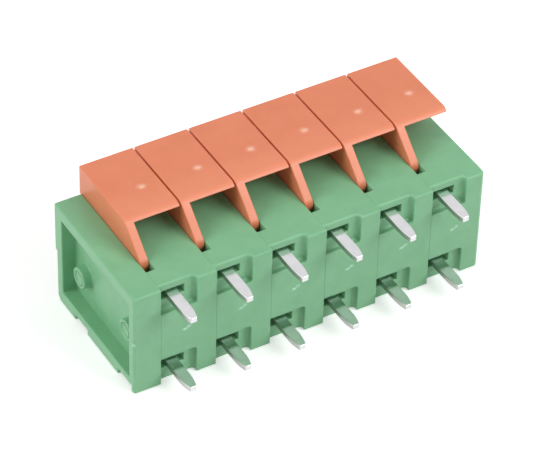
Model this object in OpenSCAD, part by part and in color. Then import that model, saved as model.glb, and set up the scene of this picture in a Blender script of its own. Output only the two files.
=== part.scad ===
// Lever-operated spring-clamp terminal block for a printed circuit board.
// The row runs along X. The board face looks towards -Y, and the solder pins stand out of it.
// The wires enter from +Y, and the levers are on the +Z side. The block lies on its flat -Z side.

/* [Block] */
// Number of poles in the row
poles = 6; // [2:1:12]
// Distance from one pole to the next
pitch = 5.08; // [5:0.02:6]
// Depth from the board face to the wire face
body_depth = 13.6; // [13.3:0.1:16]
// Height from the lying side to the lever side
body_height = 10.15; // [9.2:0.05:11.5]
// Thickness of the plate that closes the first pole
end_plate_t = 2.47; // [2:0.01:4]
// Rounding of the end plate's upright front edge
plate_edge_r = 0.25; // [0.1:0.05:0.6]
// Rounding of the last housing's upright front edge
last_edge_r = 0.4; // [0.1:0.05:0.8]

/* [Walls] */
// Wall between neighbouring poles
side_wall = 1; // [0.8:0.05:1.1]
// Wall on the lever side
top_wall = 1.33; // [1.1:0.01:1.5]
// Wall on the lying side
bottom_wall = 1.22; // [1:0.01:1.3]
// Wall on the wire side
rear_wall = 1.15; // [0.9:0.05:1.4]
// Wall behind the floors of the pin pockets
front_wall = 1; // [0.8:0.05:1.2]
// Height at which the wire side steps back
rear_step_z = 5.22; // [4.8:0.01:5.6]
// Depth of that step
rear_step = 0.35; // [0.1:0.05:0.5]
// Chamfer along the lower edge of the wire side
rear_chamfer = 0.4; // [0.2:0.05:0.8]

/* [Pin pockets] */
// Width of a pocket
pocket_w = 3.28; // [3:0.02:3.6]
// Depth of a pocket
pocket_d = 0.55; // [0.3:0.05:0.8]
// Height of the panel between the two pockets
panel_h = 4.8; // [4:0.1:5.4]
// Distance of the panel's middle below the middle of the two rows of pins
panel_drop = 0.23; // [0:0.01:0.3]
// Fillet in the corners of a pocket
pocket_r = 0.3; // [0.1:0.02:0.4]
// Width of the passage for a solder pin
pin_gap_w = 2.38; // [2.3:0.02:2.6]
// Height of the passage for a solder pin
pin_gap_h = 0.8; // [0.7:0.05:1]

/* [Solder pins] */
// Distance of the upper row of pins below the lever side
pin_top_gap = 1.1; // [0.9:0.05:1.4]
// Distance between the two rows of pins
pin_rows = 7.4; // [7:0.05:7.8]
// Width of a pin
pin_w = 1; // [0.8:0.05:1.3]
// Width of a pin at its tip
pin_tip_w = 0.56; // [0.3:0.02:0.7]
// Thickness of the contact's metal
strip_t = 0.5; // [0.4:0.05:0.6]
// Width of the contact's metal inside the block
strip_w = 2.2; // [1.8:0.05:2.2]
// Length of a pin beyond the board face
pin_len = 3.2; // [2.5:0.1:5]
// Length of the tapered end of a pin
pin_taper = 1.4; // [0.8:0.05:2]

/* [Clamp] */
// Width of a wire entry
wire_w = 3.3; // [2.8:0.1:3.3]
// Flare around a wire entry
wire_flare = 0.25; // [0.1:0.05:0.3]
// Width of the current bar
bar_w = 2.4; // [2:0.1:2.4]
// Width of the cage spring
spring_w = 3.1; // [3:0.05:3.3]
// Thickness of the cage spring
spring_t = 0.3; // [0.2:0.05:0.35]
// Height of the bar that closes the cage spring under the current bar
strap_h = 0.8; // [0.5:0.05:1]
// Bend of the cage spring under the nose
leg_bend_r = 0.45; // [0.35:0.05:0.6]
// Distance of the cage spring's hanging leg behind the nose
leg_gap = 0.95; // [0.8:0.05:1.1]

/* [Lever] */
// Width of a lever's plate
lever_w = 4.92; // [4.6:0.02:4.94]
// Height of the plate's top above the lever side
lever_rise = 2.65; // [2.5:0.05:3.2]
// Thickness of the plate
lever_t = 0.8; // [0.6:0.05:0.9]
// Thickness of the plate's front edge
lever_edge_t = 0.33; // [0.25:0.01:0.5]
// Distance from the board face to where the plate's top turns into the slope
lever_front_y = 6.28; // [6:0.02:7]
// Rounding of that turn
lever_turn_r = 0.8; // [0.3:0.05:1.2]
// Reach of the plate beyond the wire face
lever_overhang = 0.35; // [0.1:0.05:0.6]
// Slope of the rib's front edge
rib_slope = 42.5; // [40:0.5:46]
// Thickness of the rib under the plate
rib_t = 0.75; // [0.6:0.05:0.9]
// Distance of the slot's front end from the board face
slot_front_y = 2.55; // [2.4:0.05:2.8]
// Distance of the rib's toe from the slot's front end
toe_gap = 0.9; // [0.5:0.05:1]
// Rounding of the toe
toe_r = 0.9; // [0.4:0.05:1.2]
// Distance of the pivot from the board face
pivot_y = 4.7; // [4.6:0.05:5]
// Radius of the post that the lever turns on
post_r = 0.85; // [0.6:0.05:0.95]
// Radius of the lever's hub
hub_r = 1.45; // [1.35:0.05:1.5]
// Radius of the nose that presses the spring
nose_r = 0.5; // [0.4:0.05:0.55]
// Distance of the nose from the wall on the wire side
nose_gap = 2.35; // [2.2:0.05:2.6]
// Travel of the lever in degrees
lever_travel = 10; // [6:1:10]

/* [End plate] */
// Depth of the recess in the end plate
recess_depth = 1.35; // [0.6:0.05:1.5]
// Rim in front of the recess
recess_front = 0.9; // [0.7:0.05:1.2]
// Rim above the recess
recess_top = 1.12; // [0.9:0.02:1.5]
// Diameter of the round bosses in the recess
boss_d = 1.93; // [1.6:0.01:2.6]
// Height of the bosses
boss_h = 0.85; // [0.4:0.05:1.2]
// Width of the ring around a boss's dimple
boss_ring = 0.32; // [0.2:0.02:0.5]
// Depth of the dimple
dimple_d = 0.12; // [0.05:0.01:0.3]
// Distance of the rear boss from the rear rim
rear_boss_gap = 1.98; // [1.5:0.01:4]
// Height of the rear boss above the lying side
rear_boss_z = 4.15; // [3:0.01:5]
// Distance of the front boss from the front rim
front_boss_gap = 1.57; // [1:0.01:3]
// Height of the front boss above the lying side
front_boss_z = 4.83; // [4:0.01:6]
// Height of the notches between the feet of the end plate
foot_notch_h = 0.57; // [0.3:0.01:0.8]
// Distance of the middle foot from the board face
mid_foot_y = 2.8; // [2:0.1:3.5]
// Length of the middle foot
mid_foot_l = 5.35; // [3:0.05:6]
// Length of the rear foot
rear_foot_l = 2.65; // [1.5:0.05:3]

/* [Clearances] */
// Gap on each side of a lever's rib in its slot
slot_gap = 0.05; // [0.04:0.01:0.1]
// Radial clearance of the lever on its post
pivot_gap = 0.05; // [0.02:0.01:0.08]
// Gap between parts that lie against each other
seat_gap = 0.05; // [0.02:0.01:0.06]
// Gap between parts that pass each other
pass_gap = 0.1; // [0.08:0.01:0.15]
// Room between a lever's hub and the roof of the housing
hub_room = 0.2; // [0.15:0.01:0.25]
// Room between a lever's hub and the current bar
bar_room = 0.65; // [0.6:0.01:0.7]

/* [Hidden] */
function pole_names(stem) = [for (i = [1 : poles]) str(stem, i)];

$fn = 48;
cut = 0.5;                                   // how far a cut runs past the face it opens
row_l = end_plate_t + poles * pitch;
lever_rear_y = body_depth + lever_overhang;

// Inside of a housing
cavity_x = pitch - side_wall;
cavity_front = pocket_d + front_wall;
cavity_rear = body_depth - rear_wall;
cavity_top = body_height - top_wall;
relief_d = strip_t + 2 * seat_gap + 0.2;     // depth of the relief for the contact's bends
step_y = body_depth - rear_step;
keeper_h = 0.7;                              // rib that keeps the contact at the front wall
keeper_l = 0.55;
keeper_rise = 1;                             // its distance above the current bar

// Panel and pockets, centred on the two rows of pins
pin_top_z = body_height - pin_top_gap;
pin_row_z = pin_top_z - pin_rows;
panel_z = pin_row_z + (pin_rows - panel_h) / 2 - panel_drop;
slot_w = rib_t + 2 * slot_gap;
pin_x = pin_gap_w / 2;

// Lever
pivot_z = cavity_top - hub_room - hub_r;
nose_y = cavity_rear - nose_gap;
nose_z = cavity_top - pass_gap - nose_r;
lever_top = body_height + lever_rise;
toe_y = slot_front_y + toe_gap;
toe_z = lever_top - (lever_front_y - toe_y) * tan(rib_slope);
rib_rear_y = body_depth + 0.2;               // the rib's rear edge stands proud of the wire side
rib_lip_z = body_height - 0.18;              // and hooks over it at the top
slot_floor_room = 0.25;                      // left under the rib when the lever is pressed
slot_floor_z = pivot_z + (nose_z - pivot_z) * cos(lever_travel)
               - (rib_rear_y - pivot_y) * sin(lever_travel) - slot_floor_room;
hub_end = cavity_x - 0.45;                   // the hub and the nose stop short of the side wall
post_x = slot_gap + 0.2;                     // free end of the post, inside the hub

// Wire entry, current bar and cage spring share one centre line. The bar lies under the hub, and
// the wire entry takes the height that is left under the bar.
clamp_x = cavity_x / 2;
bar_z = pivot_z - hub_r - bar_room - strip_t;
wire_z = bottom_wall + 0.2;                  // a sill stays under the entry
wire_h = bar_z - 0.15 - wire_z;              // and the bar clears the entry's upper edge
bar_end = cavity_rear - 0.5;                 // free end of the bar, short of the rear wall
web_y = cavity_front + seat_gap;
bend_r = 0.75 * strip_t;                     // centre line of the contact's two bends
bend_y = web_y + strip_t / 2 - bend_r;
shoulder_y = cavity_front - 0.12;            // where a pin widens to the strip, out of sight
window_w = bar_w + 2 * seat_gap;

// Cage spring, from the bar up to the nose
spring_low_z = bar_z + strip_t + seat_gap + spring_t / 2;
spring_top_z = nose_z - nose_r - seat_gap - spring_t / 2;
loop_r = (spring_top_z - spring_low_z) / 2;
loop_y = pivot_y + hub_r + pass_gap + loop_r + spring_t / 2;
leg_y = nose_y + leg_gap;
lower_leg_end = leg_y - 1;                   // the lower leg stops short of the wire's path

// ---- helpers ----

// Outline drawn as (Y, Z), drawn out along X
module along_x(from, to) {
    translate([from, 0, 0]) rotate([90, 0, 90]) linear_extrude(to - from) children();
}

// Outline drawn as (X, Z), drawn out along Y
module along_y(from, to) {
    translate([0, to, 0]) rotate([90, 0, 0]) linear_extrude(to - from) children();
}

// Outline drawn as (X, Y), drawn out along Z
module along_z(from, to) {
    translate([0, 0, from]) linear_extrude(to - from) children();
}

// Rectangle from corner a to corner b
module rect(a, b) {
    translate(a) square(b - a);
}

// Rectangle whose corner b is rounded
module rect_round_far(a, b, r) {
    rect(a, [b.x - r, b.y]);
    rect(a, [b.x, b.y - r]);
    translate(b - [r, r]) circle(r);
}

// Quarter of a bent strip: centre line radius r, from the +X side round to the +Y side
module quarter_bend(r, t) {
    intersection() {
        difference() {
            circle(r + t / 2);
            circle(r - t / 2);
        }
        square(2 * r);
    }
}

// ---- housing ----

// Side view of every housing and of the end plate, with the step and chamfer on the wire side
module side_outline() {
    polygon([[0, 0], [step_y - rear_chamfer, 0], [step_y, rear_chamfer], [step_y, rear_step_z],
             [body_depth, rear_step_z], [body_depth, body_height], [0, body_height]]);
}

// Plan of a slice of the block. A front corner is rounded where its radius is given.
module plan_outline(width, left_r, right_r) {
    difference() {
        rect([0, 0], [width, body_depth]);
        if (left_r > 0) corner_waste(left_r);
        if (right_r > 0) translate([width, 0]) mirror([1, 0]) corner_waste(right_r);
    }
}

// What rounding takes off a corner at the origin
module corner_waste(r) {
    difference() {
        rect([-cut, -cut], [r, r]);
        translate([r, r]) circle(r);
    }
}

module slice(width, left_r = 0, right_r = 0) {
    intersection() {
        along_x(0, width) side_outline();
        along_z(0, body_height) plan_outline(width, left_r, right_r);
    }
}

// Pocket around a solder pin, open at one end, with fillets at its closed end and far side.
// It is drawn with its closed end at z = 0.
module pin_pocket(height) {
    intersection() {
        along_z(0, height) rect_round_far([-cut, -cut], [pocket_w, pocket_d], pocket_r);
        along_y(-cut, pocket_d) translate([0, height]) mirror([0, 1])
            rect_round_far([-cut, 0], [pocket_w, height], pocket_r);
        along_x(-cut, pocket_w) translate([0, height]) mirror([0, 1])
            rect_round_far([-cut, 0], [pocket_d, height], pocket_r);
    }
}

// Hollow of a housing: open on the left, with a relief at the front for the contact's two bends
module cavity() {
    along_x(-cut, cavity_x) {
        rect([cavity_front, bottom_wall], [cavity_rear, cavity_top]);
        rect([cavity_front, pin_row_z - pin_gap_h / 2],
             [cavity_front + relief_d, pin_top_z + pin_gap_h / 2]);
    }
}

// Passage of one pin through the front wall, open on the left
module pin_passage(z) {
    translate([-cut, -cut, z - pin_gap_h / 2])
        cube([pin_gap_w + cut, cavity_front + 2 * cut, pin_gap_h]);
}

// Slot for the lever's rib, through the lever side and down the wire side
module lever_slot() {
    along_x(-cut, slot_w) {
        rect([slot_front_y, cavity_top - cut], [body_depth + cut, body_height + cut]);
        rect([cavity_rear - cut, slot_floor_z], [body_depth + cut, body_height + cut]);
    }
}

// Wire entry: a square hole with a flared mouth
module wire_entry() {
    x0 = clamp_x - wire_w / 2;
    x1 = clamp_x + wire_w / 2;
    z1 = wire_z + wire_h;
    translate([x0, cavity_rear - cut, wire_z]) cube([wire_w, rear_wall + 2 * cut, wire_h]);
    intersection() {
        along_z(wire_z - wire_flare, z1 + wire_flare)
            polygon([[x0, step_y - 2 * wire_flare], [x1, step_y - 2 * wire_flare],
                     [x1 + wire_flare, step_y], [x1 + wire_flare, step_y + cut],
                     [x0 - wire_flare, step_y + cut], [x0 - wire_flare, step_y]]);
        along_x(x0 - wire_flare, x1 + wire_flare)
            polygon([[step_y - 2 * wire_flare, wire_z], [step_y, wire_z - wire_flare],
                     [step_y + cut, wire_z - wire_flare], [step_y + cut, z1 + wire_flare],
                     [step_y, z1 + wire_flare], [step_y - 2 * wire_flare, z1]]);
    }
}

module housing(is_last) {
    color([0.40, 0.67, 0.47]) {
        difference() {
            slice(pitch, right_r = is_last ? last_edge_r : 0);
            cavity();
            pin_passage(pin_row_z);
            pin_passage(pin_top_z);
            translate([0, 0, panel_z + panel_h]) pin_pocket(body_height);
            translate([0, 0, panel_z]) mirror([0, 0, 1]) pin_pocket(body_height);
            lever_slot();
            wire_entry();
        }
        // post that the lever turns on
        translate([post_x, pivot_y, pivot_z]) rotate([0, 90, 0])
            cylinder(r = post_r, h = cavity_x + side_wall / 2 - post_x);
        // rib that keeps the contact against the front wall
        translate([slot_w, web_y + strip_t + seat_gap, bar_z + strip_t + keeper_rise])
            cube([cavity_x + side_wall / 2 - slot_w, keeper_l, keeper_h]);
    }
}

// ---- end plate ----

module end_plate() {
    notch_ends = [[pocket_d, mid_foot_y],
                  [mid_foot_y + mid_foot_l, step_y - rear_chamfer - rear_foot_l]];
    color([0.40, 0.67, 0.47]) {
        difference() {
            slice(end_plate_t, left_r = plate_edge_r);
            along_x(-cut, recess_depth)
                rect([recess_front, bottom_wall], [cavity_rear, body_height - recess_top]);
            for (ends = notch_ends)
                along_x(-cut, end_plate_t + cut) rect([ends[0], -cut], [ends[1], foot_notch_h]);
        }
        boss(cavity_rear - rear_boss_gap, rear_boss_z);
        boss(recess_front + front_boss_gap, front_boss_z);
    }
}

// Round boss on the floor of the recess, with a shallow dimple
module boss(y, z) {
    translate([recess_depth + cut / 2, y, z]) rotate([0, -90, 0])
        difference() {
            cylinder(d = boss_d, h = boss_h + cut / 2);
            translate([0, 0, boss_h + cut / 2 - dimple_d])
                cylinder(d = boss_d - 2 * boss_ring, h = cut);
        }
}

// ---- lever ----

// Side view of the rib: flat top, sloped front with a rounded turn and toe, then back to the hub
// and on to the nose
module lever_side() {
    turn_l = lever_turn_r * tan(rib_slope / 2);
    toe_l = toe_r * tan(45 - rib_slope / 2);
    polygon([[lever_front_y + turn_l, lever_top], [lever_rear_y, lever_top],
             [lever_rear_y, rib_lip_z], [rib_rear_y, rib_lip_z],
             [rib_rear_y, nose_z], [nose_y, nose_z], [pivot_y, pivot_z],
             [pivot_y - 0.6 * hub_r, pivot_z + 0.8 * hub_r], [toe_y, toe_z - toe_l],
             [toe_y + toe_l * cos(rib_slope), toe_z + toe_l * sin(rib_slope)],
             [lever_front_y - turn_l * cos(rib_slope), lever_top - turn_l * sin(rib_slope)]]);
    translate([lever_front_y + turn_l, lever_top - lever_turn_r]) circle(lever_turn_r);
    translate([toe_y + toe_r, toe_z - toe_l]) circle(toe_r);
}

module lever() {
    color([0.94, 0.52, 0.36]) {
        difference() {
            union() {
                along_x(slot_gap, slot_gap + rib_t) lever_side();
                along_x(slot_gap, hub_end) translate([pivot_y, pivot_z]) circle(hub_r);
            }
            along_x(-cut, hub_end + cut) translate([pivot_y, pivot_z]) circle(post_r + pivot_gap);
        }
        // nose over the cage spring
        along_x(slot_gap, hub_end) translate([nose_y, nose_z]) circle(nose_r);
        lever_plate();
    }
}

// Plate that is pressed: its front follows the slope down to a thin edge, cut back underneath
module lever_plate() {
    edge_y = lever_front_y - lever_edge_t / tan(rib_slope);
    chamfer = lever_t - lever_edge_t;
    along_x(slot_gap, slot_gap + lever_w)
        intersection() {
            lever_side();
            polygon([[edge_y, lever_top + cut], [lever_rear_y + cut, lever_top + cut],
                     [lever_rear_y + cut, lever_top - lever_t],
                     [edge_y + 1.5 * chamfer, lever_top - lever_t],
                     [edge_y, lever_top - lever_edge_t]]);
        }
}

// ---- contact ----

// Bent strip seen from the side: the web, and at each of its ends a bend towards the board
module contact_side() {
    for (flip = [0, 1])
        translate([0, flip * (pin_row_z + pin_top_z)]) mirror([0, flip]) {
            rect([shoulder_y, pin_top_z - strip_t / 2], [bend_y, pin_top_z + strip_t / 2]);
            translate([bend_y, pin_top_z - bend_r]) quarter_bend(bend_r, strip_t);
        }
    rect([web_y, pin_row_z + bend_r], [web_y + strip_t, pin_top_z - bend_r]);
}

// Solder pin, drawn at z = 0: straight, then narrowing to its tip along two arcs
module solder_pin() {
    taper_y = pin_taper - pin_len;
    side_step = (pin_w - pin_tip_w) / 2;
    side_r = (pin_taper * pin_taper + side_step * side_step) / (2 * side_step);
    along_z(-strip_t / 2, strip_t / 2) {
        rect([-pin_w / 2, taper_y], [pin_w / 2, bend_y]);
        intersection() {
            rect([-pin_w / 2, -pin_len], [pin_w / 2, taper_y]);
            translate([pin_w / 2 - side_r, taper_y]) circle(side_r);
            translate([side_r - pin_w / 2, taper_y]) circle(side_r);
        }
    }
}

module contact() {
    side_x = pin_x - strip_w / 2;
    bar_x = clamp_x - bar_w / 2;
    color([0.85, 0.85, 0.84]) {
        along_x(side_x, side_x + strip_w) contact_side();
        for (z = [pin_row_z, pin_top_z])
            translate([pin_x, 0, z]) solder_pin();
        // current bar and the wider part of the web that carries it
        along_x(side_x, bar_x + bar_w)
            rect([web_y, bar_z - strip_t], [web_y + strip_t, bar_z + 2 * strip_t]);
        along_x(bar_x, bar_x + bar_w) rect([web_y, bar_z], [bar_end, bar_z + strip_t]);
    }
}

// ---- cage spring ----

// Strip seen from the side: lower leg, loop, upper leg, and the leg that hangs over the bar
module spring_side() {
    half_t = spring_t / 2;
    rect([loop_y, spring_low_z - half_t], [lower_leg_end, spring_low_z + half_t]);
    for (flip = [0, 1])
        translate([loop_y, spring_low_z + loop_r]) mirror([1, 0]) mirror([0, flip])
            quarter_bend(loop_r, spring_t);
    rect([loop_y, spring_top_z - half_t], [leg_y - leg_bend_r, spring_top_z + half_t]);
    translate([leg_y - leg_bend_r, spring_top_z - leg_bend_r]) quarter_bend(leg_bend_r, spring_t);
    rect([leg_y - half_t, bar_z - seat_gap - strap_h],
         [leg_y + half_t, spring_top_z - leg_bend_r]);
}

module cage_spring() {
    window_h = spring_top_z - leg_bend_r - 0.2 - bar_z + seat_gap;
    color([0.62, 0.63, 0.65])
        difference() {
            along_x(clamp_x - spring_w / 2, clamp_x + spring_w / 2) spring_side();
            // window for the bar and the wire
            translate([clamp_x - window_w / 2, leg_y - cut, bar_z - seat_gap])
                cube([window_w, 2 * cut, window_h]);
        }
}

// ---- assembly ----

// Puts a piece where the row lies, centred over the origin
module in_row() {
    translate([-row_l / 2, (pin_len - lever_rear_y) / 2, 0]) children();
}

// Puts a piece at pole i, counted from 1
module at_pole(i) {
    in_row() translate([end_plate_t + (i - 1) * pitch, 0, 0]) children();
}

in_row() end_plate();
for (i = [1 : poles]) {
    at_pole(i) housing(i == poles);
    at_pole(i) lever();
    at_pole(i) contact();
    at_pole(i) cage_spring();
}
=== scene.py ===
import bpy
import math
from mathutils import Matrix, Vector


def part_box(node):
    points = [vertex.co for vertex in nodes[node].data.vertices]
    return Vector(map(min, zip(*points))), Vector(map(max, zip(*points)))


# Lever-operated spring-clamp terminal block: green and orange moulded polyamide, tin-plated brass
# contacts and stainless cage springs, on a pale studio floor.
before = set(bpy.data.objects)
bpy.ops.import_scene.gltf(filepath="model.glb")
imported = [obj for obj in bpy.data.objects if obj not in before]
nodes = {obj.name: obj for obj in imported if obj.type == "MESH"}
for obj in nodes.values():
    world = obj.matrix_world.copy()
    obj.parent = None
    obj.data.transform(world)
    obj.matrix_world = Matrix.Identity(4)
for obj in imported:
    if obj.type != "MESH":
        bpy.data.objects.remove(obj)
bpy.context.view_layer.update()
print("frame loaded:", len(nodes), "pieces")

mm = 0.001
farOff = 1.0  # metres: well past every piece of the block

# what the row itself gives: its first pole, the distance between poles, its front and its tops
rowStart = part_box("housing_1")[0].x
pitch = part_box("housing_2")[0].x - rowStart
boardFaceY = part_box("end_plate")[0].y
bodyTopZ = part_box("end_plate")[1].z
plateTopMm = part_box("lever_1")[1].z / mm


def hexToLinear(code):
    # sRGB hex to the linear values Blender works in
    channels = [int(code[i:i + 2], 16) / 255 for i in (1, 3, 5)]
    linear = [c / 12.92 if c <= 0.04045 else ((c + 0.055) / 1.055) ** 2.4 for c in channels]
    return (*linear, 1.0)


def addNode(tree, kind, settings=None, inputs=None):
    # adds one node: settings are its own properties, and an input takes a value, a socket or
    # another node, which gives its first output
    node = tree.nodes.new(kind)
    for key, value in (settings or {}).items():
        setattr(node, key, value)
    for key, value in (inputs or {}).items():
        source = value.outputs[0] if isinstance(value, bpy.types.Node) else value
        if isinstance(source, bpy.types.NodeSocket):
            tree.links.new(source, node.inputs[key])
        else:
            node.inputs[key].default_value = source
    return node


def startMaterial(name):
    material = bpy.data.materials.new(name)
    material.use_nodes = True
    material.node_tree.nodes.clear()
    return material, material.node_tree


def dress(obj, material):
    obj.data.materials.clear()
    obj.data.materials.append(material)


def piecesNamed(start):
    return {name: obj for name, obj in nodes.items() if name.startswith(start)}


# edge radii that every slice of the row has alike
rowEdges = {
    "topFrontMm": 0.2,  # between the lever side and the board face, and round the pockets there
    "seamMm": 0.035,  # where two slices meet
    "seamTopMm": 0.008,  # and where they meet on the lever side
}

# what counts as an edge, and where it lies
edgeRules = {
    "sameCornerMm": 0.0005,  # corners closer than this are one
    "flatDegrees": 0.6,  # faces that turn less than this are one
    "sharpDegrees": 28,  # an edge that turns more than this is rounded
    "creaseDegrees": 27,  # and where the rounded piece still turns more than this, it shades crisply
    "belowTopMm": 0.05,  # how far below the lever side an edge still belongs to it
    "behindFrontMm": 0.7,  # and how far behind the board face
    "footMm": 0.5,  # edges below this height belong to the foot
    "seamReachMm": 0.002,  # an edge this near to where two slices meet lies in the seam
}


def startGroup(name, numbers=()):
    group = bpy.data.node_groups.new(name, "GeometryNodeTree")
    group.interface.new_socket("Geometry", in_out="INPUT", socket_type="NodeSocketGeometry")
    for number in numbers:
        group.interface.new_socket(number, in_out="INPUT", socket_type="NodeSocketFloat")
    group.interface.new_socket("Geometry", in_out="OUTPUT", socket_type="NodeSocketGeometry")
    return group, addNode(group, "NodeGroupInput").outputs


def edgeRadiusGroup():
    # geometry nodes: gives every sharp edge its own radius, as a share of the piece's largest one
    group, given = startGroup("edgeRadii", (
        "Share", "Seam Share", "Seam Top Share", "Seam Low", "Seam High", "Soft Top", "Soft Front",
        "Inner Edges"))
    corner = addNode(group, "GeometryNodeInputPosition")
    middle = addNode(group, "GeometryNodeFieldOnDomain", {"domain": "EDGE", "data_type": "FLOAT_VECTOR"},
                     {0: corner})
    x, y, z = addNode(group, "ShaderNodeSeparateXYZ", inputs={0: middle}).outputs
    atTop = addNode(group, "ShaderNodeMath", {"operation": "GREATER_THAN"}, {0: z, 1: given["Soft Top"]})
    atFront = addNode(group, "ShaderNodeMath", {"operation": "LESS_THAN"}, {0: y, 1: given["Soft Front"]})
    atFoot = addNode(group, "ShaderNodeMath", {"operation": "LESS_THAN"},
                     {0: z, 1: edgeRules["footMm"] * mm})

    # the softest edges are both at the top and at the front, and the crispest lie in a seam
    softest = addNode(group, "ShaderNodeMath", {"operation": "MULTIPLY"}, {0: atTop, 1: atFront})
    share = addNode(group, "ShaderNodeMath", {"operation": "MAXIMUM"}, {0: softest, 1: given["Share"]})
    seamShare = addNode(group, "GeometryNodeSwitch", {"input_type": "FLOAT"}, {
        "Switch": atTop, "False": given["Seam Share"], "True": given["Seam Top Share"]})
    for seam in ("Seam Low", "Seam High"):
        inSeam = addNode(group, "ShaderNodeMath", {"operation": "COMPARE"},
                         {0: x, 1: given[seam], 2: edgeRules["seamReachMm"] * mm})
        share = addNode(group, "GeometryNodeSwitch", {"input_type": "FLOAT"}, {
            "Switch": inSeam, "False": share, "True": seamShare})

    # edges of the hollow and of the wire entry are rounded only where Inner Edges is 1
    outside = addNode(group, "ShaderNodeMath", {"operation": "MAXIMUM"}, {0: atTop, 1: atFront})
    others = addNode(group, "ShaderNodeMath", {"operation": "MAXIMUM"}, {0: atFoot, 1: given["Inner Edges"]})
    allowed = addNode(group, "ShaderNodeMath", {"operation": "MAXIMUM"}, {0: outside, 1: others})
    angle = addNode(group, "GeometryNodeInputMeshEdgeAngle")
    sharp = addNode(group, "ShaderNodeMath", {"operation": "GREATER_THAN"},
                    {0: angle, 1: math.radians(edgeRules["sharpDegrees"])})
    rounded = addNode(group, "ShaderNodeMath", {"operation": "MULTIPLY"}, {0: sharp, 1: allowed})
    weight = addNode(group, "ShaderNodeMath", {"operation": "MULTIPLY"}, {0: rounded, 1: share})
    store = addNode(group, "GeometryNodeStoreNamedAttribute", {"domain": "EDGE", "data_type": "FLOAT"}, {
        "Geometry": given["Geometry"], "Name": "bevel_weight_edge", "Value": weight})
    addNode(group, "NodeGroupOutput", inputs={0: store})
    return group


def shadeGroup():
    # geometry nodes: smooth shading that breaks at every edge left sharp
    group, given = startGroup("shadeByAngle")
    angle = addNode(group, "GeometryNodeInputMeshEdgeAngle")
    sharp = addNode(group, "ShaderNodeMath", {"operation": "GREATER_THAN"},
                    {0: angle, 1: math.radians(edgeRules["creaseDegrees"])})
    smooth = addNode(group, "GeometryNodeSetShadeSmooth", inputs={0: given["Geometry"]})
    crease = addNode(group, "GeometryNodeSetShadeSmooth", {"domain": "EDGE"},
                     {0: smooth, "Selection": sharp, "Shade Smooth": False})
    addNode(group, "NodeGroupOutput", inputs={0: crease})
    return group


edgeRadii = edgeRadiusGroup()
shadeByAngle = shadeGroup()


def roundEdges(obj, radiusMm, seams=(), inRow=False, innerEdges=True):
    # rounds a piece's edges as the mould or the plating leaves them; seams are the x places of the
    # planes where it meets its neighbours in the row
    largest = rowEdges["topFrontMm"] if inRow else radiusMm
    seamLow, seamHigh = (*seams, farOff, farOff)[:2]
    values = {
        "Share": radiusMm / largest,
        "Seam Share": rowEdges["seamMm"] / largest,
        "Seam Top Share": rowEdges["seamTopMm"] / largest,
        "Seam Low": seamLow,
        "Seam High": seamHigh,
        "Soft Top": bodyTopZ - edgeRules["belowTopMm"] * mm if inRow else farOff,
        "Soft Front": boardFaceY + edgeRules["behindFrontMm"] * mm,
        "Inner Edges": float(innerEdges),
    }
    weld = obj.modifiers.new("joinCorners", "WELD")
    weld.merge_threshold = edgeRules["sameCornerMm"] * mm
    flatten = obj.modifiers.new("joinFlats", "DECIMATE")
    flatten.decimate_type = "DISSOLVE"
    flatten.angle_limit = math.radians(edgeRules["flatDegrees"])
    weigh = obj.modifiers.new("edgeRadii", "NODES")
    weigh.node_group = edgeRadii
    for item in edgeRadii.interface.items_tree:
        if item.name in values:
            weigh[item.identifier] = values[item.name]
    bevel = obj.modifiers.new("roundEdges", "BEVEL")
    bevel.limit_method = "WEIGHT"
    bevel.width = largest * mm
    bevel.segments = 4
    bevel.use_clamp_overlap = False
    bevel.loop_slide = True
    obj.modifiers.new("shadeByAngle", "NODES").node_group = shadeByAngle
    normals = obj.modifiers.new("evenNormals", "WEIGHTED_NORMAL")
    normals.weight = 80  # large faces stay flat right up to the rounding
    normals.keep_sharp = True


def poleCoords(tree, coords):
    # the place inside one pole, from the pole's left plane, the board face and the base, and a
    # random step for each pole
    fromStart = addNode(tree, "ShaderNodeVectorMath", {"operation": "SUBTRACT"},
                        {0: coords, 1: (rowStart, boardFaceY, 0)})
    inPole = addNode(tree, "ShaderNodeVectorMath", {"operation": "WRAP"},  # only x starts afresh
                     {0: fromStart, 1: (pitch, farOff, farOff), 2: (0, -farOff, -farOff)})
    alongRow = addNode(tree, "ShaderNodeSeparateXYZ", inputs={0: fromStart})
    polesAlong = addNode(tree, "ShaderNodeMath", {"operation": "DIVIDE"}, {0: alongRow, 1: pitch})
    poleNumber = addNode(tree, "ShaderNodeMath", {"operation": "FLOOR"}, {0: polesAlong})
    chance = addNode(tree, "ShaderNodeTexWhiteNoise", {"noise_dimensions": "1D"}, {"W": poleNumber})
    drift = addNode(tree, "ShaderNodeVectorMath", {"operation": "SUBTRACT"},
                    {0: chance.outputs["Color"], 1: (0.5, 0.5, 0.5)})
    return inPole, drift


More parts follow.
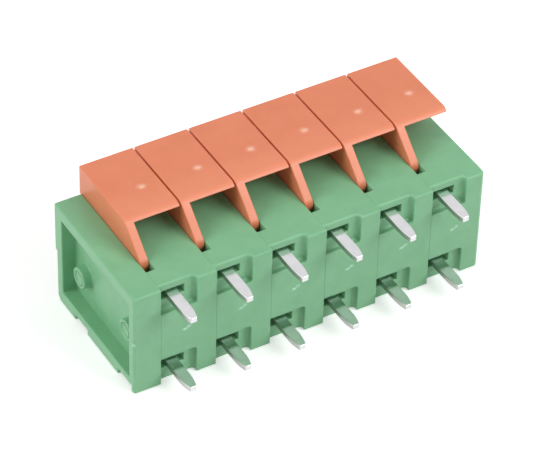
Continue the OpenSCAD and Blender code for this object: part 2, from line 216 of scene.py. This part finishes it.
def mouldedPolyamide(name, look):
    # PA66, injection moulded and self-coloured: an even satin skin, faintly translucent,
    # with flow mottling, a fine eroded grain, pale blushes where the gates were, and painted light where a
    # look lists it
    material, tree = startMaterial(name)
    coords = addNode(tree, "ShaderNodeTexCoord").outputs["Object"]
    mottle = addNode(tree, "ShaderNodeTexNoise", inputs={
        "Vector": coords, "Scale": 1 / (look["mottleMm"] * mm), "Detail": 3.0, "Roughness": 0.55})
    grain = addNode(tree, "ShaderNodeTexNoise", inputs={
        "Vector": coords, "Scale": 1 / (look["grainMm"] * mm), "Detail": 2.0, "Roughness": 0.6})
    ragged = addNode(tree, "ShaderNodeTexNoise", inputs={
        "Vector": coords, "Scale": 1 / (look["raggedMm"] * mm), "Detail": 3.0})
    # noise keeps to the middle of its range, so that part of it is spread over both colours
    shade = addNode(tree, "ShaderNodeMapRange", inputs={"Value": mottle, "From Min": 0.3, "From Max": 0.7})
    color = addNode(tree, "ShaderNodeMix", {"data_type": "RGBA"}, {
        "Factor": shade, 6: hexToLinear(look["deep"]), 7: hexToLinear(look["light"])}).outputs[2]
    height = addNode(tree, "ShaderNodeMath", {"operation": "MULTIPLY"},
                     {0: grain, 1: look["grainDepthMm"] * mm})

    inPole, drift = poleCoords(tree, coords)
    for mark in look["marksAndPaintedLight"]:
        # an ellipsoid: a gate scar, or a patch of painted light; each pole's sits a little off its fellows
        # by its drift, as gates break off unevenly
        place = addNode(tree, "ShaderNodeVectorMath", {"operation": "MULTIPLY_ADD"},
                        {0: drift, 1: [mark["driftMm"] * mm] * 3, 2: inPole})
        offset = addNode(tree, "ShaderNodeVectorMath", {"operation": "SUBTRACT"},
                         {0: place, 1: Vector(mark["centreMm"]) * mm})
        inRadii = addNode(tree, "ShaderNodeVectorMath", {"operation": "DIVIDE"},
                          {0: offset, 1: Vector(mark["radiiMm"]) * mm})
        distance = addNode(tree, "ShaderNodeVectorMath", {"operation": "LENGTH"}, {0: inRadii})
        core = addNode(tree, "ShaderNodeMapRange", {"interpolation_type": "SMOOTHSTEP"}, {
            "Value": distance.outputs["Value"],
            "From Min": 1 + mark["soft"], "From Max": 1 - mark["soft"]})
        uneven = addNode(tree, "ShaderNodeMapRange", inputs={
            "Value": ragged, "From Min": 0.32, "From Max": 0.62, "To Min": mark["gaps"]})
        mask = addNode(tree, "ShaderNodeMath", {"operation": "MULTIPLY"}, {0: core, 1: uneven})
        strength = addNode(tree, "ShaderNodeMath", {"operation": "MULTIPLY"},
                           {0: mask, 1: mark["strength"]})
        color = addNode(tree, "ShaderNodeMix", {"data_type": "RGBA"}, {
            "Factor": strength, 6: color, 7: hexToLinear(mark["color"])}).outputs[2]
        height = addNode(tree, "ShaderNodeMath", {"operation": "MULTIPLY_ADD"},
                         {0: mask, 1: mark["heightMm"] * mm, 2: height})

    gloss = addNode(tree, "ShaderNodeMapRange", inputs={
        "Value": mottle, "To Min": look["roughness"] - 0.05, "To Max": look["roughness"] + 0.05})
    bump = addNode(tree, "ShaderNodeBump", inputs={"Strength": 1.0, "Distance": 1.0, "Height": height})
    shader = addNode(tree, "ShaderNodeBsdfPrincipled", inputs={
        "Base Color": color,
        "Roughness": gloss,
        "Normal": bump,
        "IOR": look["ior"],
        "Subsurface Weight": look["translucence"],
        "Subsurface Radius": look["scatter"],
        "Subsurface Scale": look["scatterMm"] * mm,
    })
    addNode(tree, "ShaderNodeOutputMaterial", inputs={"Surface": shader})
    return material


# marks hold gate scars and painted light: centre from the pole's left plane, the board face and the base;
# soft is how far the rim fades to each side, as a share of the radii, and gaps how much colour the torn
# places keep
housing = {
    "deep": "#7AB488",
    "light": "#81BB8F",
    "mottleMm": 1.6,  # size of the clouds that the flow leaves
    "grainMm": 0.12,  # eroded grain is about 0.03 mm: drawn coarser to show
    "grainDepthMm": 0.0012,
    "raggedMm": 0.3,  # size of the torn places in a mark
    "roughness": 0.42,
    "ior": 1.53,
    "translucence": 0.35,
    "scatter": (0.6, 1.0, 0.6),  # green light goes furthest
    "scatterMm": 0.25,
    "edgeMm": 0.1,
    "marksAndPaintedLight": [
        # gate scar on the panel between the two pins of a pole, torn in two strokes
        {"centreMm": (2.2, 0.0, 5.15), "radiiMm": (0.2, 0.3, 0.13), "driftMm": 0.16, "heightMm": 0.02,
         "soft": 0.7, "gaps": 0.55, "strength": 0.8, "color": "#C6EAD6"},
        {"centreMm": (2.55, 0.0, 5.33), "radiiMm": (0.19, 0.3, 0.17), "driftMm": 0.16, "heightMm": 0.02,
         "soft": 0.7, "gaps": 0.45, "strength": 0.65, "color": "#BCE6D4"},
    ],
}
endPlate = {
    "edgeMm": 0.14,  # its material is the housings'
}

greenPolyamide = mouldedPolyamide("greenMouldedPolyamide", housing)
dress(nodes["end_plate"], greenPolyamide)
roundEdges(nodes["end_plate"], endPlate["edgeMm"], [rowStart], inRow=True)
print("end plate dressed")

housings = piecesNamed("housing_")
for name, obj in housings.items():
    low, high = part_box(name)
    isLast = name == f"housing_{len(housings)}"
    dress(obj, greenPolyamide)
    roundEdges(obj, housing["edgeMm"], [low.x] if isLast else [low.x, high.x], inRow=True, innerEdges=False)
print("housings dressed:", len(housings))


lever = {
    "deep": "#E0825C",
    "light": "#E58762",
    "mottleMm": 2.2,  # size of the clouds that the flow leaves
    "grainMm": 0.12,  # eroded grain is about 0.03 mm: drawn coarser to show
    "grainDepthMm": 0.001,
    "raggedMm": 0.3,  # size of the torn places in a mark
    "roughness": 0.40,
    "ior": 1.53,
    "translucence": 0.35,
    "scatter": (1.0, 0.5, 0.3),  # red light goes furthest
    "scatterMm": 0.3,
    "edgeMm": 0.07,
    "marksAndPaintedLight": [
        # painted highlight: the plate is coloured lighter towards its front edge, where more of the light
        # falls
        {"centreMm": (2.4, 6.5, plateTopMm), "radiiMm": (4.5, 1.7, 1.0), "driftMm": 0.0, "heightMm": 0.0,
         "soft": 0.9, "gaps": 1.0, "strength": 0.4, "color": "#F39A76"},
        # gate scar on top of the plate: a small bright spot in a fainter ring
        {"centreMm": (3.24, 9.16, plateTopMm), "radiiMm": (0.45, 0.4, 0.5), "driftMm": 0.14,
         "heightMm": 0.02, "soft": 0.4, "gaps": 0.3, "strength": 0.4, "color": "#F9BCA2"},
        {"centreMm": (3.24, 9.16, plateTopMm), "radiiMm": (0.24, 0.18, 0.5), "driftMm": 0.14,
         "heightMm": 0.02, "soft": 0.7, "gaps": 0.7, "strength": 0.9, "color": "#FDCBB0"},
    ],
}

orangePolyamide = mouldedPolyamide("orangeMouldedPolyamide", lever)
levers = piecesNamed("lever_")
for obj in levers.values():
    dress(obj, orangePolyamide)
    roundEdges(obj, lever["edgeMm"])
print("levers dressed:", len(levers))


contact = {
    "bright": "#E4E4E6",
    "dull": "#CFCFD1",
    "edge": "#8F897E",
    "edgeShare": 0.5,  # how far a sheared edge goes to the edge colour
    "edgeRoughness": 0.165,  # and how much rougher it is
    "lineMm": 0.06,  # distance between drawing lines
    "lineStretch": 0.08,  # how fast a line changes along the pin, against across it
    "lineDepthMm": 0.0004,
    "cloudMm": 0.9,  # size of the brighter and duller patches of tin
    "roughness": 0.16,
    "edgeMm": 0.04,
}


def tinPlatedBrass(name, look):
    # rolled brass strip, stamped, then tin plated: bright and near white on the rolled faces,
    # greyer and duller on the sheared edges, with faint drawing lines along the pin
    material, tree = startMaterial(name)
    texCoord = addNode(tree, "ShaderNodeTexCoord")
    coords = texCoord.outputs["Object"]
    alongPin = addNode(tree, "ShaderNodeMapping", inputs={
        "Vector": coords, "Scale": (1.0, look["lineStretch"], 1.0)})
    lines = addNode(tree, "ShaderNodeTexNoise", inputs={
        "Vector": alongPin, "Scale": 1 / (look["lineMm"] * mm), "Detail": 2.0})
    cloud = addNode(tree, "ShaderNodeTexNoise", inputs={
        "Vector": coords, "Scale": 1 / (look["cloudMm"] * mm), "Detail": 3.0})
    facing = addNode(tree, "ShaderNodeSeparateXYZ", inputs={0: texCoord.outputs["Normal"]})
    sheared = addNode(tree, "ShaderNodeMath", {"operation": "ABSOLUTE"}, {0: facing})
    edgeShare = addNode(tree, "ShaderNodeMath", {"operation": "MULTIPLY"},
                        {0: sheared, 1: look["edgeShare"]})
    plated = addNode(tree, "ShaderNodeMix", {"data_type": "RGBA"}, {
        "Factor": cloud, 6: hexToLinear(look["bright"]), 7: hexToLinear(look["dull"])}).outputs[2]
    color = addNode(tree, "ShaderNodeMix", {"data_type": "RGBA"}, {
        "Factor": edgeShare, 6: plated, 7: hexToLinear(look["edge"])}).outputs[2]
    smooth = addNode(tree, "ShaderNodeMapRange", inputs={
        "Value": cloud, "To Min": look["roughness"] - 0.05, "To Max": look["roughness"] + 0.08})
    rough = addNode(tree, "ShaderNodeMath", {"operation": "MULTIPLY_ADD"},
                    {0: sheared, 1: look["edgeRoughness"], 2: smooth})
    height = addNode(tree, "ShaderNodeMath", {"operation": "MULTIPLY"},
                     {0: lines, 1: look["lineDepthMm"] * mm})
    bump = addNode(tree, "ShaderNodeBump", inputs={"Strength": 1.0, "Distance": 1.0, "Height": height})
    shader = addNode(tree, "ShaderNodeBsdfPrincipled", inputs={
        "Base Color": color, "Roughness": rough, "Normal": bump, "Metallic": 1.0})
    addNode(tree, "ShaderNodeOutputMaterial", inputs={"Surface": shader})
    return material


tinPlate = tinPlatedBrass("tinPlatedBrass", contact)
contacts = piecesNamed("contact_")
for obj in contacts.values():
    dress(obj, tinPlate)
    roundEdges(obj, contact["edgeMm"])
print("contacts dressed:", len(contacts))


cageSpring = {
    "dark": "#8E9094",
    "light": "#B4B6BA",
    "grainMm": 0.05,  # distance between rolling lines
    "grainStretch": 0.1,  # how fast a line changes along the strip, against across it
    "grainDepthMm": 0.0006,
    "roughness": 0.3,
    "edgeMm": 0.03,
}


def rolledStainless(name, look):
    # cold-rolled 301 spring strip: grey, with a satin rolled grain along the strip
    material, tree = startMaterial(name)
    coords = addNode(tree, "ShaderNodeTexCoord").outputs["Object"]
    alongStrip = addNode(tree, "ShaderNodeMapping", inputs={
        "Vector": coords, "Scale": (1.0, look["grainStretch"], look["grainStretch"])})
    grain = addNode(tree, "ShaderNodeTexNoise", inputs={
        "Vector": alongStrip, "Scale": 1 / (look["grainMm"] * mm), "Detail": 3.0})
    color = addNode(tree, "ShaderNodeMix", {"data_type": "RGBA"}, {
        "Factor": grain, 6: hexToLinear(look["dark"]), 7: hexToLinear(look["light"])}).outputs[2]
    rough = addNode(tree, "ShaderNodeMapRange", inputs={
        "Value": grain, "To Min": look["roughness"] - 0.06, "To Max": look["roughness"] + 0.06})
    height = addNode(tree, "ShaderNodeMath", {"operation": "MULTIPLY"},
                     {0: grain, 1: look["grainDepthMm"] * mm})
    bump = addNode(tree, "ShaderNodeBump", inputs={"Strength": 1.0, "Distance": 1.0, "Height": height})
    shader = addNode(tree, "ShaderNodeBsdfPrincipled", inputs={
        "Base Color": color, "Roughness": rough, "Normal": bump, "Metallic": 1.0})
    addNode(tree, "ShaderNodeOutputMaterial", inputs={"Surface": shader})
    return material


springStrip = rolledStainless("rolledStainlessStrip", cageSpring)
springs = piecesNamed("cage_spring_")
for obj in springs.values():
    dress(obj, springStrip)
    roundEdges(obj, cageSpring["edgeMm"])
print("cage springs dressed:", len(springs))


studio = {
    "floorColor": "#F4F4F4",
    "floorWidth": 4,
    "floorDropMm": 0.02,  # keeps the floor clear of the faces the block lies on
    "floorLift": 0.38,  # extra brightness of the floor for the camera only
    "backdropColor": "#FFFFFF",
    "worldStrength": 0.29,
    "lampDistance": 0.45,
    "aim": (0, 0, 0.004),
}

# soft boxes: power in watts, width in metres, and where they stand, in degrees round the object
# from its front and up from the floor
softBoxes = {
    "frontRight": {"power": 1.05, "width": 0.26, "azimuth": 35, "elevation": 38},
    "left": {"power": 1.0, "width": 0.28, "azimuth": -100, "elevation": 33},
    "top": {"power": 0.35, "width": 0.45, "azimuth": 0, "elevation": 88},
}


def seenDirectly(tree):
    # 1 for rays from the camera, off gloss and through glass
    path = addNode(tree, "ShaderNodeLightPath").outputs
    seen = addNode(tree, "ShaderNodeMath", {"operation": "MAXIMUM"},
                   {0: path["Is Camera Ray"], 1: path["Is Glossy Ray"]})
    return addNode(tree, "ShaderNodeMath", {"operation": "MAXIMUM"},
                   {0: seen, 1: path["Is Transmission Ray"]})


def makeFloor():
    # matt white board
    bpy.ops.mesh.primitive_plane_add(size=studio["floorWidth"], location=(0, 0, -studio["floorDropMm"] * mm))
    floor = bpy.context.object
    floor.name = "floor"
    material, tree = startMaterial("paleFloor")
    lift = addNode(tree, "ShaderNodeMath", {"operation": "MULTIPLY"},
                   {0: seenDirectly(tree), 1: studio["floorLift"]})
    shader = addNode(tree, "ShaderNodeBsdfPrincipled", inputs={
        "Base Color": hexToLinear(studio["floorColor"]),
        "Roughness": 0.9,
        "Specular IOR Level": 0.0,
        "Emission Color": hexToLinear(studio["backdropColor"]),
        "Emission Strength": lift,
    })
    addNode(tree, "ShaderNodeOutputMaterial", inputs={"Surface": shader})
    dress(floor, material)


def makeWorld():
    # full white where it is seen, and dimmer where it lights the object
    world = bpy.data.worlds.new("studioWorld")
    bpy.context.scene.world = world
    world.use_nodes = True
    tree = world.node_tree
    tree.nodes.clear()
    strength = addNode(tree, "ShaderNodeMapRange", inputs={
        "Value": seenDirectly(tree), "To Min": studio["worldStrength"], "To Max": 1.0})
    background = addNode(tree, "ShaderNodeBackground", inputs={
        "Color": hexToLinear(studio["backdropColor"]), "Strength": strength})
    addNode(tree, "ShaderNodeOutputWorld", inputs={"Surface": background})


def directionTo(azimuth, elevation):
    # from the object to a place round it, in degrees from its front and up from the floor
    around, up = math.radians(azimuth), math.radians(elevation)
    return Vector((math.sin(around) * math.cos(up), -math.cos(around) * math.cos(up), math.sin(up)))


def makeSoftBox(name, box):
    data = bpy.data.lights.new(name, "AREA")
    data.shape = "DISK"
    data.energy = box["power"]
    data.size = box["width"]
    lamp = bpy.data.objects.new(name, data)
    back = directionTo(box["azimuth"], box["elevation"])
    lamp.location = Vector(studio["aim"]) + studio["lampDistance"] * back
    lamp.rotation_euler = back.to_track_quat("Z", "Y").to_euler()
    bpy.context.scene.collection.objects.link(lamp)


makeFloor()
makeWorld()
for name, box in softBoxes.items():
    makeSoftBox(name, box)
print("floor, world and soft boxes set:", len(softBoxes))


cameraView = {
    "azimuth": -31.34,
    "elevation": 40.57,
    "roll": 1.71,
    "lensMm": 208.4,
    "distance": 0.25828,
    "aim": (-0.00006, 0.00137, 0.00617),
}


def makeCamera():
    azimuth = math.radians(cameraView["azimuth"])
    back = directionTo(cameraView["azimuth"], cameraView["elevation"])
    right = Vector((math.cos(azimuth), math.sin(azimuth), 0))
    up = back.cross(right)
    turn = Matrix((right, up, back)).transposed() @ Matrix.Rotation(math.radians(cameraView["roll"]), 3, "Z")
    place = Vector(cameraView["aim"]) + cameraView["distance"] * back
    data = bpy.data.cameras.new("camera")
    data.sensor_width = 36
    data.lens = cameraView["lensMm"]
    data.clip_start = 0.01
    data.clip_end = 20
    camera = bpy.data.objects.new("camera", data)
    camera.matrix_world = Matrix.Translation(place) @ turn.to_4x4()
    bpy.context.scene.collection.objects.link(camera)
    bpy.context.scene.camera = camera


makeCamera()
bpy.context.scene.view_settings.view_transform = "Standard"
print("camera set")
